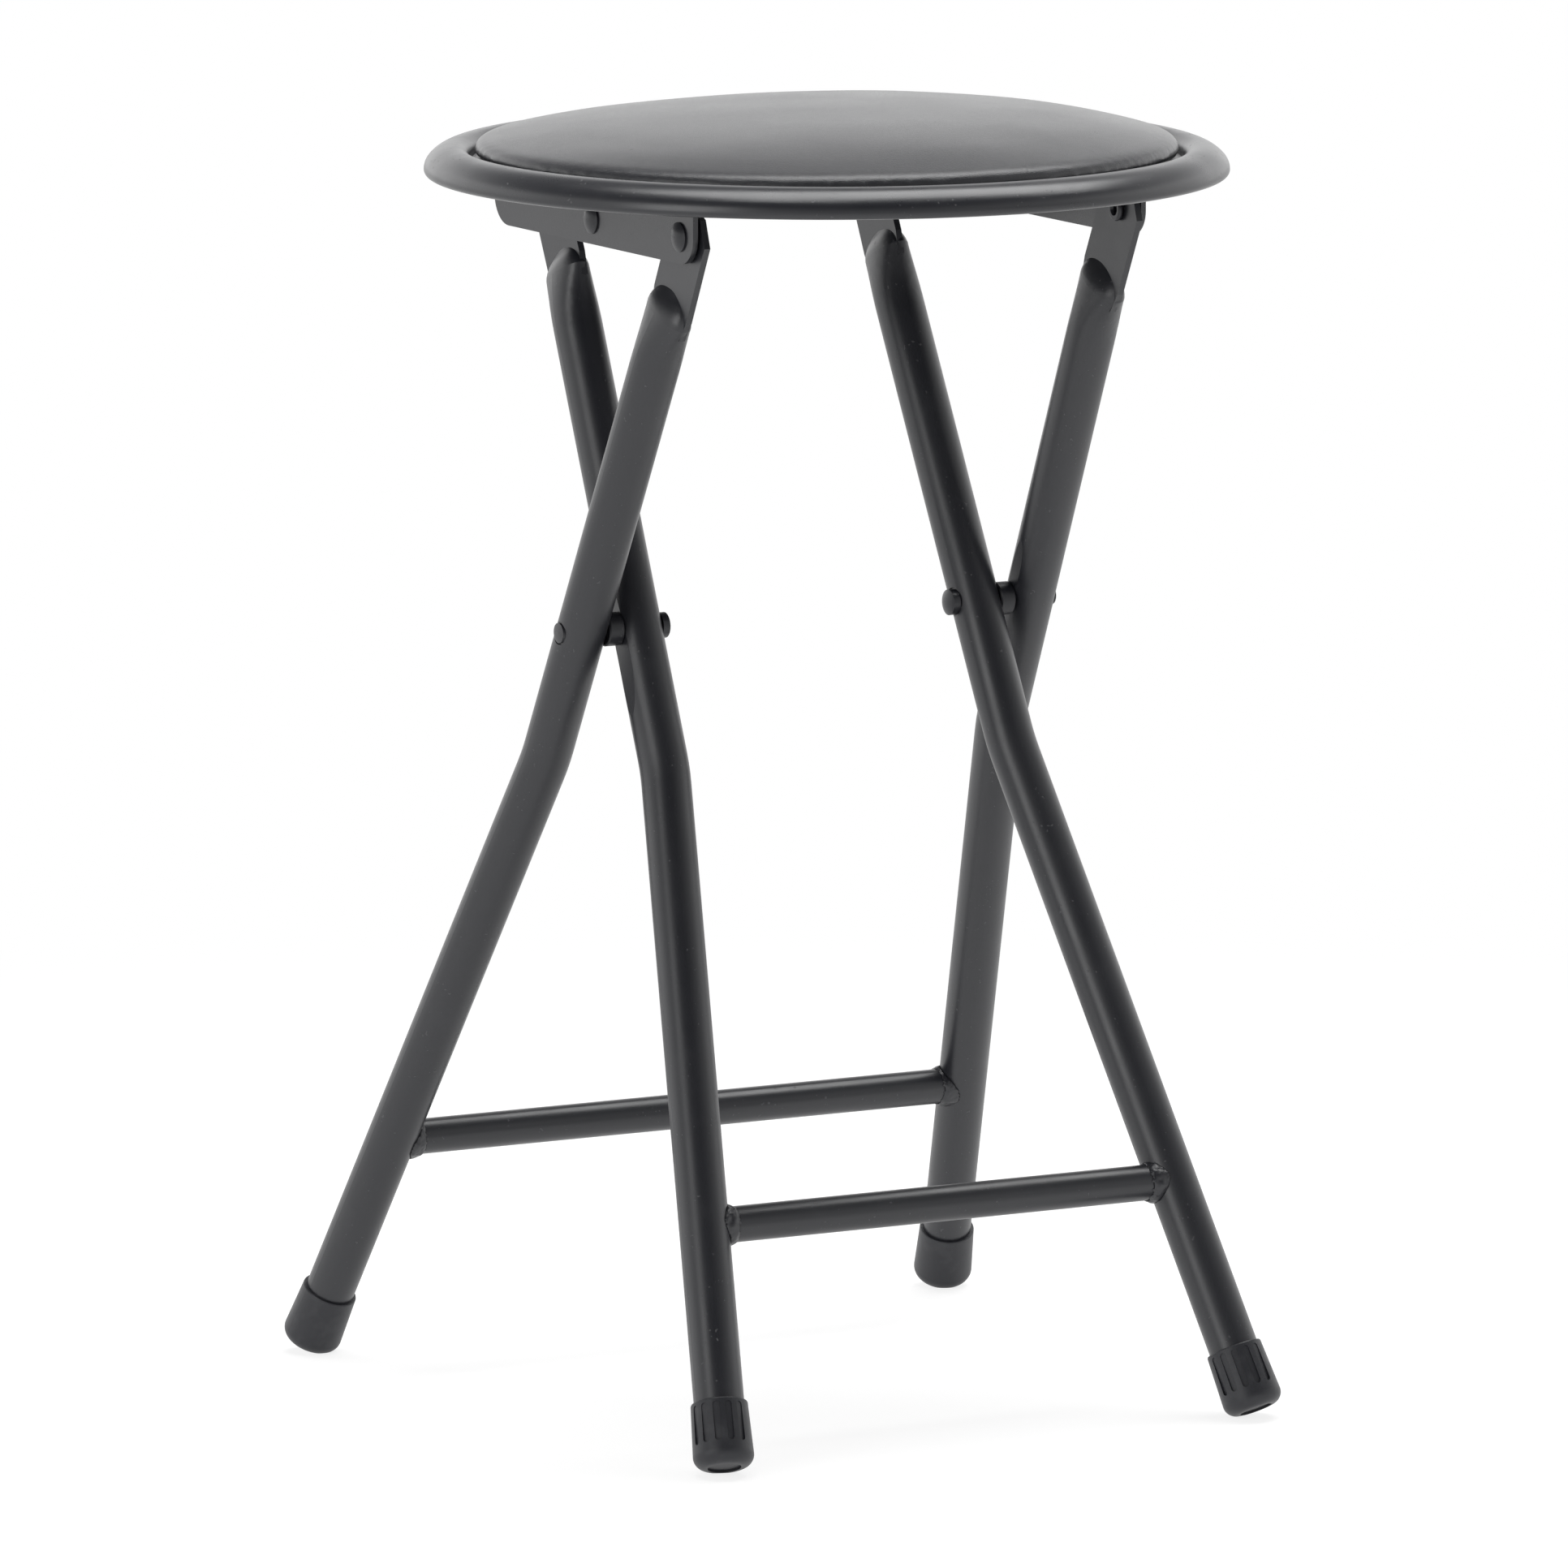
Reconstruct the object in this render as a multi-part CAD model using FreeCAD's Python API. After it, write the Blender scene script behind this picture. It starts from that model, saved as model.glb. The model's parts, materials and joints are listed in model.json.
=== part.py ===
"""Round folding stool: two crossed tube frames, a pressed steel seat and a domed pad.

Millimetres. X runs across the stool along its hinge axes, Y from the front of the
seat to its back, Z up. The stool is built open, standing on its four foot caps at
Z = 0, and the middle of its outline in X and Y is the origin.

The outer frame leans forward: its feet are at the back and its tops carry the front
of the seat. The inner frame leans back inside it. The two are riveted where they
cross, and a pair of links ties the inner tops to the middle of the seat brackets.
"""
import FreeCAD, Part
import math
import os

V = FreeCAD.Vector

# Overall
seat_diameter = 290.0
seat_underside = 445.0        # height of the rim's lower edge above the floor
seat_setback = 14.7           # seat centre in front of the crossing of the legs
pivot_height = 283.0          # crossing rivets above the floor
half_angle = 26.3             # lean of each frame from upright, in degrees

# Leg tubes
leg_diameter = 18.0
leg_wall = 1.2
outer_spread = 92.6           # centre of an outer leg from the middle, at the crossing
inner_spread = 69.8
outer_toe_in = 1.72           # degrees that the upper legs lean inward
inner_toe_in = 1.56
outer_splay = 8.74            # degrees that the lower legs lean outward
inner_splay = 8.31
bend_height = 234.0           # height of the bend above the floor
bend_radius = 90.0

# Flattened leg tops
flat_width = 26.4
flat_thickness = 2.4
flat_plane_outer = 88.0       # middle of an outer flat from the middle of the stool
flat_plane_inner = 65.5
seat_pivot_height = 433.4     # front hinge rivets above the floor
link_pivot_drop = 10.3        # middle of an inner flat's round end down to the link rivet
inner_top_gap = 0.3           # inner tops under the seat plate when the stool is open
outer_shoulder_drop = 32.3    # front hinge down to the shoulders of the pressed tube
inner_shoulder_drop = 24.5    # link rivet down to the shoulders of the pressed tube
shoulder_size = (12.6, 25.6)  # pressed tube at its shoulders, through and across
slope_sections = (            # sloping end: above the shoulders, through and across
    (1.6, 11.7, 25.2),
    (4.5, 8.7, 22.4))
tip_section = (9.0, 2.2, 8.0)
squash_length = 22.0          # shoulders down to where the tube is round
squash_steps = 4
flat_corner_rise = 4.0        # shoulders up to the full width of the flat
flat_root = 4.5               # the flat runs this far down inside the tube
flat_root_taper = 1.6
corner_rise = 3.0             # hinge up to the corners of the outer flat
corner_cut = (7.4, 7.4)       # clipped off each corner, across and along

# Pressed seats at the crossing
outer_press = 0.2
inner_press = 1.2
press_flat = 16.0
press_blend_radius = 150.0
outer_dimple = 0.7
inner_dimple = 0.6
dimple_margin = 0.6

# Crossbars
crossbar_diameter = 13.0
crossbar_wall = 1.0
outer_crossbar_height = 84.1
inner_crossbar_height = 82.0
weld_reach = 2.8
weld_throat = 1.3

# Foot caps
cap_diameter = 20.0
cap_foot_diameter = 21.8
cap_length = 23.5
cap_floor = 3.6
cap_edge_radius = 4.5
cap_lip = 0.4
cap_recess_diameter = 12.0
cap_recess_depth = 0.8
floor_facet = 0.4             # worn flat where a cap stands on the floor
flute_count = 5
flute_pitch = 25.0            # degrees
flute_turn = 33.0             # middle flute from the front or back of the cap, in degrees
flute_width = 2.4
flute_length = 14.5
flute_depth = 0.5
flute_start = 7.6             # above the bottom of the cap

# Seat rim and plate
rim_height = 10.6
rim_width = 17.0
rim_sheet = 1.0
rim_outer_radius = 6.5        # small arc at the outside of the rim
rim_inner_radius = 6.0
rim_hem = 5.0
rim_hem_radius = 2.0
plate_sheet = 1.0
plate_rise = 4.2              # underside of the plate above the rim's lower edge

# Pad
pad_gap = 1.2                 # widest part of the pad to the rim's inner wall
pad_top = 469.2               # crown above the floor
pad_edge_height = 454.5       # widest part of the pad above the floor
pad_edge_radius = 5.0
pad_crown_radius = 1000.0
pad_crown_flat = 70.0         # reach of the flatter middle of the crown
pad_draw_in = 22.0            # degrees that the side leans in below the edge
cover_thickness = 1.0
cover_hem = 14.0
board_thickness = 4.0
board_margin = 1.5

# Seat brackets
bracket_sheet = 2.0
bracket_inner_face = 90.2
bracket_lower_edge = 423.9
bracket_front = 84.6          # in front of the crossing
bracket_back = 67.2           # behind the crossing
bracket_front_radius = 9.5
bracket_back_radius = 11.0
bracket_flange = 18.0
bracket_bend_radius = 2.5
link_rivet_front = 8.0        # middle rivet in front of the crossing
link_rivet_height = 432.9

# Links, rivets and bushes
link_width = 12.0
link_sheet = 2.0
link_inner_face = 70.4
rivet_radius = 3.0
rivet_head_radius = 5.3
rivet_head_height = 2.2
rivet_head_edge = 0.6         # straight edge under the dome of a head
rivet_tail_radius = 4.4
rivet_tail_height = 2.0
rivet_bore_radius = 1.9
rivet_bore_depth = 5.0
washer_radius = 7.0
crossing_head_radius = 3.65
crossing_head_height = 1.3
crossing_head_edge = 0.9
crossing_tail_radius = 4.7
crossing_tail_height = 3.9
crossing_tail_edge = 2.7
bush_radius = 6.1
bush_chamfer = 0.5
spacer_radius = 5.0
collar_radius = 5.0
screw_radius = 1.75
screw_head_radius = 3.6
screw_head_height = 1.8
screw_length = 7.2
screw_line = 80.0             # screws from the middle of the stool
screw_spacing = 84.0

# Clearances
running_clearance = 0.05      # radial, between a rivet and a hole that turns on it
side_clearance = 0.1          # between faces that turn past each other
rivet_split_gap = 0.3         # between the two halves of a link rivet

# Worked out from the sizes above
lean = math.radians(half_angle)
leg_radius = leg_diameter / 2
bore_radius = leg_radius - leg_wall
crossbar_radius = crossbar_diameter / 2
seat_radius = seat_diameter / 2
flat_half = flat_thickness / 2
plate_underside = seat_underside + plate_rise
plate_top = plate_underside + plate_sheet
rim_inner_face = seat_radius - rim_width
pad_radius = rim_inner_face - pad_gap
seat_pivot_reach = (seat_pivot_height - pivot_height) / math.cos(lean)
bend_reach = (bend_height - pivot_height) / math.cos(lean)
inner_end_height = plate_underside - inner_top_gap - flat_width / 2
inner_end_reach = (inner_end_height - pivot_height) / math.cos(lean)
link_pivot_reach = inner_end_reach - link_pivot_drop
bracket_outer_face = bracket_inner_face + bracket_sheet
link_outer_face = link_inner_face + link_sheet


class LegLine:
    """The centre line of one frame's leg, in the plane of the frame.

    Heights are measured along the frame from the crossing rivet, upward positive.
    """

    def __init__(self, spread, toe_in, splay, crossbar_height):
        self.spread = spread
        self.toe_in = math.radians(toe_in)
        self.splay = math.radians(splay)
        self.bend_x = self.across(bend_reach)
        self.crossbar_reach = (crossbar_height - pivot_height) / math.cos(lean)

    def across(self, reach):
        """Distance of the centre line from the middle of the stool."""
        if reach >= bend_reach:
            return self.spread - reach * math.tan(self.toe_in)
        bend_x = self.spread - bend_reach * math.tan(self.toe_in)
        return bend_x + (bend_reach - reach) * math.tan(self.splay)

    def foot_reach(self):
        """Where the centre line meets the bottom of the foot cap."""
        tilt = math.acos(math.cos(lean) * math.cos(self.splay))
        ring = cap_foot_diameter / 2 - cap_edge_radius
        lowest = cap_edge_radius * (1 - math.cos(tilt)) + ring * math.sin(tilt)
        return (lowest - floor_facet - pivot_height) / math.cos(lean)

    def path(self, start, end):
        """Straight, bend and straight from one reach to another."""
        foot = V(self.across(start), 0, start)
        bend = V(self.bend_x, 0, bend_reach)
        top = V(self.across(end), 0, end)
        down = (foot - bend).normalize()
        up = (top - bend).normalize()
        turn = self.splay - self.toe_in
        tangent = bend_radius * math.tan(turn / 2)
        first = bend + down * tangent
        last = bend + up * tangent
        inward = (down + up).normalize()
        middle = bend + inward * (bend_radius / math.cos(turn / 2) - bend_radius)
        return Part.Wire([
            Part.LineSegment(foot, first).toShape(),
            Part.Arc(first, middle, last).toShape(),
            Part.LineSegment(last, top).toShape()])


outer_line = LegLine(outer_spread, outer_toe_in, outer_splay, outer_crossbar_height)
inner_line = LegLine(inner_spread, inner_toe_in, inner_splay, inner_crossbar_height)


# Small helpers

def box(low, high):
    """Box between two corners."""
    size = high - low
    return Part.makeBox(size.x, size.y, size.z, low)


def rod(x_from, x_to, y, z, radius):
    """Round bar along X between two distances from the middle."""
    low = min(x_from, x_to)
    return Part.makeCylinder(radius, abs(x_to - x_from), V(low, y, z), V(1, 0, 0))


def revolve_profile(edges):
    """Solid of a closed profile in the XZ plane, turned once about the Z axis."""
    solid = Part.Face(Part.Wire(edges)).revolve(V(0, 0, 0), V(0, 0, 1), 360)
    return solid if solid.Volume > 0 else solid.reversed()


def arc(centre, radius, start, end):
    """Arc in the XZ plane between two angles in degrees, counted from +X to +Z."""
    points = []
    for angle in (start, (start + end) / 2, end):
        turn = math.radians(angle)
        points.append(V(centre[0] + radius * math.cos(turn), 0, centre[1] + radius * math.sin(turn)))
    return Part.Arc(*points).toShape()


def line(start, end):
    """Straight edge in the XZ plane."""
    return Part.LineSegment(V(start[0], 0, start[1]), V(end[0], 0, end[1])).toShape()


def end_of(edge):
    """Last point of an edge as a pair."""
    point = edge.valueAt(edge.LastParameter)
    return point.x, point.z


def start_of(edge):
    """First point of an edge as a pair."""
    point = edge.valueAt(edge.FirstParameter)
    return point.x, point.z


def turned_to_x(shape, x, y, z, side):
    """Move a shape made on the Z axis so that its +Z points away from the middle."""
    moved = shape.copy()
    moved.rotate(V(0, 0, 0), V(0, 1, 0), 90 * side)
    moved.translate(V(x * side, y, z))
    return moved


def stood_up(shape, direction):
    """Lean a shape made in a frame's plane; +1 is the outer frame, -1 the inner."""
    leaned = shape.copy()
    leaned.rotate(V(0, 0, 0), V(1, 0, 0), half_angle * direction)
    leaned.translate(V(0, 0, pivot_height))
    return leaned


def mirrored(shape, side):
    """The shape itself for the right side, its mirror image for the left."""
    return shape if side > 0 else shape.mirror(V(0, 0, 0), V(1, 0, 0))


def rounded_plate(x_low, x_high, outline):
    """Plate across X from a closed outline of edges in the YZ plane."""
    face = Part.Face(Part.Wire(outline))
    face.translate(V(x_low, 0, 0))
    return face.extrude(V(x_high - x_low, 0, 0))


# Legs

def stretched(shape, x_size, y_size, z_size):
    """A shape of unit size, scaled along each axis."""
    matrix = FreeCAD.Matrix()
    matrix.scale(x_size, y_size, z_size)
    return shape.transformGeometry(matrix)


def oval(size, inset, rise):
    """Oval section of a pressed tube, or of its hollow, at a height above its shoulders."""
    section = stretched(Part.makeCircle(1), size[0] / 2 - inset, size[1] / 2 - inset, 1)
    section.translate(V(0, 0, squash_length + rise))
    return Part.Wire(section)


def pressed_end(inset):
    """Closed end of a tube on +Z: round at its base, then wider and thinner, then sloped.

    The inset is zero for the outside of the tube and its wall for the hollow.
    """
    sections = [Part.Wire(Part.makeCircle(leg_radius - inset))]
    for step in range(1, squash_steps):
        along = step / (squash_steps - 1)
        share = along ** 2
        size = [leg_diameter + (end - leg_diameter) * share for end in shoulder_size]
        sections.append(oval(size, inset, (along - 1) * squash_length))
    ends = slope_sections if inset else slope_sections + (tip_section,)
    slope = [oval(shoulder_size, inset, 0)] + [oval(size, inset, rise) for rise, *size in ends]
    return Part.makeLoft(sections, True, False).fuse(Part.makeLoft(slope, True, False))


def tube_bar(leg, radius, start, end):
    """Round bent bar from one reach to another."""
    rim = Part.makeCircle(radius)
    rim.rotate(V(0, 0, 0), V(0, 1, 0), -math.degrees(leg.splay))
    rim.translate(V(leg.across(start), 0, start))
    return leg.path(start, end).makePipe(Part.Face(Part.Wire(rim)))


def tube_body(leg, inset, start, shoulder):
    """Bent bar with its pressed end, of the leg's outside or of its hollow."""
    round_end = shoulder - squash_length
    end = pressed_end(inset)
    end.rotate(V(0, 0, 0), V(0, 1, 0), -math.degrees(leg.toe_in))
    end.translate(V(leg.across(round_end), 0, round_end))
    return tube_bar(leg, leg_radius - inset, start, round_end).fuse(end)


def press_tool(face_x, facing):
    """Cutter that flattens a tube beside the crossing; facing is the way it looks."""
    half = press_flat / 2
    run = math.sqrt(2 * press_blend_radius * (max(outer_press, inner_press) + 2 * leg_wall))
    turn = math.asin(run / press_blend_radius)
    drop = press_blend_radius * (1 - math.cos(turn))
    mid_drop = press_blend_radius * (1 - math.cos(turn / 2))
    mid_run = press_blend_radius * math.sin(turn / 2)
    far = face_x + facing * leg_diameter

    def point(depth, z):
        return V(face_x + facing * depth, 0, z)

    edges = [
        Part.LineSegment(point(0, -half), point(0, half)).toShape(),
        Part.Arc(point(0, half), point(mid_drop, half + mid_run), point(drop, half + run)).toShape(),
        Part.LineSegment(point(drop, half + run), V(far, 0, half + run)).toShape(),
        Part.LineSegment(V(far, 0, half + run), V(far, 0, -half - run)).toShape(),
        Part.LineSegment(V(far, 0, -half - run), point(drop, -half - run)).toShape(),
        Part.Arc(point(drop, -half - run), point(mid_drop, -half - mid_run), point(0, -half)).toShape()]
    face = Part.Face(Part.Wire(edges))
    face.translate(V(0, -leg_diameter, 0))
    return face.extrude(V(0, 2 * leg_diameter, 0))


def chain(points):
    """Straight edges in the YZ plane through a row of points."""
    places = [V(0, y, z) for y, z in points]
    return [Part.LineSegment(a, b).toShape() for a, b in zip(places, places[1:])]


def flat_outline(shoulder, top_edges, top_start, top_end):
    """Outline of a flattened top, from its root inside the tube to its end's edges."""
    half = flat_width / 2
    corner = shoulder + flat_corner_rise
    root = shoulder - flat_root
    narrow = half - flat_root_taper
    lower = chain([top_start, (-half, corner), (-narrow, root), (narrow, root), (half, corner), top_end])
    return lower + top_edges


def clipped_flat(shoulder):
    """Outer leg's flat: its end is cut straight, with the corners clipped."""
    half = flat_width / 2
    corner = seat_pivot_reach + corner_rise
    top = corner + corner_cut[1]
    narrow = half - corner_cut[0]
    edges = chain([(half, corner), (narrow, top), (-narrow, top), (-half, corner)])
    return flat_outline(shoulder, edges, (-half, corner), (half, corner))


def round_flat(shoulder):
    """Inner leg's flat, with a round end."""
    half = flat_width / 2
    end = inner_end_reach
    edges = [Part.Arc(V(0, half, end), V(0, 0, end + half), V(0, -half, end)).toShape()]
    return flat_outline(shoulder, edges, (-half, end), (half, end))


def make_leg(leg, facing, plane_x, outline, shoulder, pin_reach, pin_clearance, press, dimple, head,
             pivot_clearance):
    """One leg in its frame's plane, on the right side.

    facing is -1 where the other frame lies towards the middle, +1 where it lies outside;
    press is the depth of the flat that faces it, and dimple and head are the depth of the
    seat for the crossing rivet and its head's radius.
    """
    foot = leg.foot_reach() + cap_floor * math.cos(leg.splay)
    shell = tube_body(leg, 0, foot, shoulder)
    shell = shell.fuse(rounded_plate(plane_x - flat_half, plane_x + flat_half, outline))
    hollow = tube_body(leg, leg_wall, foot - leg_wall, shoulder)

    pressed_x = leg.spread + facing * (leg_radius - press)
    shell = shell.cut(press_tool(pressed_x, facing))
    hollow = hollow.cut(press_tool(pressed_x - facing * leg_wall, facing))

    head_x = leg.spread - facing * (leg_radius - dimple)
    away = leg.spread - facing * leg_diameter
    dimple_radius = head + dimple_margin
    shell = shell.cut(rod(head_x, away, 0, 0, dimple_radius))
    hollow = hollow.cut(rod(head_x + facing * leg_wall, away, 0, 0, dimple_radius + leg_wall))

    near, far = leg.spread - leg_diameter, leg.spread + leg_diameter
    pivot = rod(near, far, 0, 0, rivet_radius + pivot_clearance)
    pin = rod(plane_x - leg_radius, plane_x + leg_radius, 0, pin_reach, rivet_radius + pin_clearance)
    return shell.cut([hollow, pivot, pin]).removeSplitter()


def make_outer_leg():
    """Outer leg: turns on the seat's front rivet, holds the crossing rivet."""
    shoulder = seat_pivot_reach - outer_shoulder_drop
    return make_leg(outer_line, -1, flat_plane_outer, clipped_flat(shoulder), shoulder, seat_pivot_reach,
                    running_clearance, outer_press, outer_dimple, crossing_head_radius, 0)


def make_inner_leg():
    """Inner leg: turns on the crossing rivet, holds its half of the link rivet."""
    shoulder = link_pivot_reach - inner_shoulder_drop
    return make_leg(inner_line, 1, flat_plane_inner, round_flat(shoulder), shoulder, link_pivot_reach,
                    0, inner_press, inner_dimple, crossing_tail_radius, running_clearance)


# Crossbars and their welds

def leg_cutter(leg, side):
    """Outside of a lower leg, for what is shaped to meet it."""
    return mirrored(tube_bar(leg, leg_radius, leg.foot_reach(), 0), side)


def make_crossbar(leg):
    """Tube between the lower legs, its ends shaped to meet them."""
    across = leg.across(leg.crossbar_reach)
    tube = rod(-across, across, 0, leg.crossbar_reach, crossbar_radius)
    tube = tube.cut(rod(-across, across, 0, leg.crossbar_reach, crossbar_radius - crossbar_wall))
    trimmed = tube.cut([leg_cutter(leg, 1), leg_cutter(leg, -1)])
    return max(trimmed.Solids, key=lambda solid: solid.BoundBox.XLength)


def make_welds(leg):
    """Fillet welds round both ends of a crossbar."""
    surface = leg.across(leg.crossbar_reach) - leg_radius / math.cos(leg.splay)
    inside = surface + leg_radius / 2
    wide = crossbar_radius + weld_throat
    outline = [
        line((0, surface - weld_reach), (crossbar_radius, surface - weld_reach)),
        line((crossbar_radius, surface - weld_reach), (wide - weld_throat / 3, surface - weld_reach / 3)),
        line((wide - weld_throat / 3, surface - weld_reach / 3), (wide, surface + weld_reach / 3)),
        line((wide, surface + weld_reach / 3), (wide, inside)),
        line((wide, inside), (0, inside)),
        line((0, inside), (0, surface - weld_reach))]
    bead = revolve_profile(outline)
    bead.rotate(V(0, 0, 0), V(0, 1, 0), 90)
    bead.translate(V(0, 0, leg.crossbar_reach))
    bar = rod(surface - 2 * weld_reach, inside + weld_reach, 0, leg.crossbar_reach, crossbar_radius)
    bead = bead.cut([bar, leg_cutter(leg, 1)])
    bead = max(bead.Solids, key=lambda solid: solid.Volume)
    return Part.makeCompound([bead, mirrored(bead, -1)])


# Foot caps

def make_cap(leg, side, outward):
    """Rubber foot cap pushed over the end of a leg."""
    top, foot = cap_diameter / 2, cap_foot_diameter / 2
    edge_centre = (foot - cap_edge_radius, cap_edge_radius)
    edge = arc(edge_centre, cap_edge_radius, -90, 0)
    recess = cap_recess_diameter / 2
    profile = [
        line((0, cap_recess_depth), (recess, cap_recess_depth)),
        line((recess, cap_recess_depth), (recess, 0)),
        line((recess, 0), start_of(edge)),
        edge,
        line(end_of(edge), (top + cap_lip / 2, cap_length - cap_lip)),
        line((top + cap_lip / 2, cap_length - cap_lip), (top, cap_length)),
        line((top, cap_length), (leg_radius, cap_length)),
        line((leg_radius, cap_length), (leg_radius, cap_floor)),
        line((leg_radius, cap_floor), (0, cap_floor)),
        line((0, cap_floor), (0, cap_recess_depth))]
    cap = revolve_profile(profile)
    for index in range(flute_count):
        angle = (index - (flute_count - 1) / 2) * flute_pitch
        flute = make_flute()
        flute.rotate(V(0, 0, 0), V(0, 0, 1), angle + 90 * outward - side * flute_turn)
        cap = cap.cut(flute)
    cap.rotate(V(0, 0, 0), V(0, 1, 0), -math.degrees(leg.splay))
    cap.translate(V(leg.across(leg.foot_reach()), 0, leg.foot_reach()))
    return mirrored(cap, side)


def make_flute():
    """Groove with round ends, made on the +X side of a cap."""
    half = flute_width / 2
    face = (cap_diameter + cap_foot_diameter) / 4 - flute_depth
    low, high = flute_start + half, flute_start + flute_length - half
    depth = cap_foot_diameter / 2
    bar = box(V(face, -half, low), V(face + depth, half, high))
    ends = [Part.makeCylinder(half, depth, V(face, 0, z), V(1, 0, 0)) for z in (low, high)]
    return bar.fuse(ends)


# Seat

def rim_curve(inset):
    """Edges of the rim's domed section, offset inward from its outside.

    They run from the hem's bend, out and over the crest, to the top of the inner wall.
    """
    crest = (rim_inner_face + rim_inner_radius, seat_underside + rim_height)
    hem_centre = (seat_radius - rim_hem_radius, seat_underside + rim_hem_radius)
    side_centre = (seat_radius - rim_outer_radius, hem_centre[1])
    rise = crest[1] - side_centre[1]
    out = side_centre[0] - crest[0]
    top_radius = (out ** 2 + rise ** 2 - rim_outer_radius ** 2) / (2 * (rise - rim_outer_radius))
    top_centre = (crest[0], crest[1] - top_radius)
    meet = math.degrees(math.atan2(side_centre[1] - top_centre[1], side_centre[0] - top_centre[0]))
    wall_centre = (crest[0], crest[1] - rim_inner_radius)
    return [
        arc(hem_centre, rim_hem_radius - inset, -90, 0),
        arc(side_centre, rim_outer_radius - inset, 0, meet),
        arc(top_centre, top_radius - inset, meet, 90),
        arc(wall_centre, rim_inner_radius - inset, 90, 180)]


def make_rim():
    """Roll-formed rim: a hemmed outer edge, a domed top and an inner wall."""
    outside = rim_curve(0)
    inside = rim_curve(rim_sheet)
    hem_end = seat_radius - rim_hem_radius - rim_hem
    wall_outer, wall_inner = rim_inner_face, rim_inner_face + rim_sheet
    profile = outside + inside + [
        line((hem_end, seat_underside), start_of(outside[0])),
        line((hem_end, seat_underside), (hem_end, seat_underside + rim_sheet)),
        line((hem_end, seat_underside + rim_sheet), start_of(inside[0])),
        line(end_of(outside[-1]), (wall_outer, plate_underside)),
        line((wall_outer, plate_underside), (wall_inner, plate_underside)),
        line((wall_inner, plate_underside), end_of(inside[-1]))]
    return seated(revolve_profile(Part.sortEdges(profile)[0]))


def seated(shape):
    """Move a shape made about the seat's own centre to its place."""
    shape.translate(V(0, -seat_setback, 0))
    return shape


def screw_places():
    """Centres of the seat screws in X and Y."""
    reach = screw_spacing / 2
    return [(side * screw_line, -seat_setback + end * reach) for side in (-1, 1) for end in (-1, 1)]


def screw_holes(radius, low, high):
    """Round bars through the screws' places."""
    return [Part.makeCylinder(radius, high - low, V(x, y, low)) for x, y in screw_places()]


def make_plate():
    """Steel plate inside the rim that the pad lies on."""
    plate = Part.makeCylinder(rim_inner_face, plate_sheet, V(0, 0, plate_underside))
    return seated(plate).cut(screw_holes(screw_radius + running_clearance, seat_underside, pad_top))


def pad_curve(inset):
    """Edges of the pad's outside, or of its foam: side, rolled edge and crown."""
    edge_radius = pad_edge_radius - inset
    edge_centre = (pad_radius - pad_edge_radius, pad_edge_height)
    crown_centre = (0, pad_top - pad_crown_radius)
    turn = math.asin(pad_crown_flat / pad_crown_radius)
    towards = (math.sin(turn), math.cos(turn))
    gap = (crown_centre[0] - edge_centre[0], crown_centre[1] - edge_centre[1])
    along = gap[0] * towards[0] + gap[1] * towards[1]
    squared = gap[0] ** 2 + gap[1] ** 2
    above = squared + 2 * pad_crown_radius * along + pad_crown_radius ** 2 - pad_edge_radius ** 2
    slope_radius = above / (2 * (along + pad_crown_radius - pad_edge_radius))
    reach = pad_crown_radius - slope_radius
    slope_centre = (crown_centre[0] + reach * towards[0], crown_centre[1] + reach * towards[1])
    meet = math.degrees(math.atan2(edge_centre[1] - slope_centre[1], edge_centre[0] - slope_centre[0]))
    roll = arc(edge_centre, edge_radius, -pad_draw_in, meet)
    return [
        roll,
        arc(slope_centre, slope_radius - inset, meet, 90 - math.degrees(turn)),
        arc(crown_centre, pad_crown_radius - inset, 90 - math.degrees(turn), 90)]


def side_point(curve, height):
    """Point at a height on the drawn-in side that runs down from the rolled edge."""
    start = start_of(curve[0])
    fall = start[1] - height
    return start[0] - fall * math.tan(math.radians(pad_draw_in)), height


def make_cover():
    """Sewn cover, drawn over the foam and turned in under the board."""
    outside, inside = pad_curve(0), pad_curve(cover_thickness)
    board_underside = plate_top + cover_thickness
    foot = side_point(outside, plate_top)
    inner_foot = side_point(inside, board_underside)
    hem_end = foot[0] - cover_hem
    profile = outside + inside + [
        line(foot, start_of(outside[0])),
        line((hem_end, plate_top), foot),
        line((hem_end, plate_top), (hem_end, board_underside)),
        line((hem_end, board_underside), inner_foot),
        line(inner_foot, start_of(inside[0])),
        line(end_of(inside[-1]), end_of(outside[-1]))]
    return seated(revolve_profile(Part.sortEdges(profile)[0]))


def make_foam():
    """Foam that fills the cover above the board."""
    inside = pad_curve(cover_thickness)
    low = plate_top + cover_thickness
    foot = side_point(inside, low)
    profile = inside + [
        line((0, low), foot),
        line(foot, start_of(inside[0])),
        line(end_of(inside[-1]), (0, low))]
    foam = revolve_profile(Part.sortEdges(profile)[0])
    return seated(foam.cut(Part.makeCylinder(seat_radius, board_thickness, V(0, 0, low))))


def make_board():
    """Pressed board under the foam, drilled for the seat screws."""
    base = plate_top + cover_thickness
    radius = side_point(pad_curve(cover_thickness), base)[0] - board_margin
    board = seated(Part.makeCylinder(radius, board_thickness, V(0, 0, base)))
    return board.cut(screw_holes(screw_radius, base - board_thickness, screw_tip()))


def screw_tip():
    """Height of the screws' upper ends."""
    return plate_underside - bracket_sheet + screw_length


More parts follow.
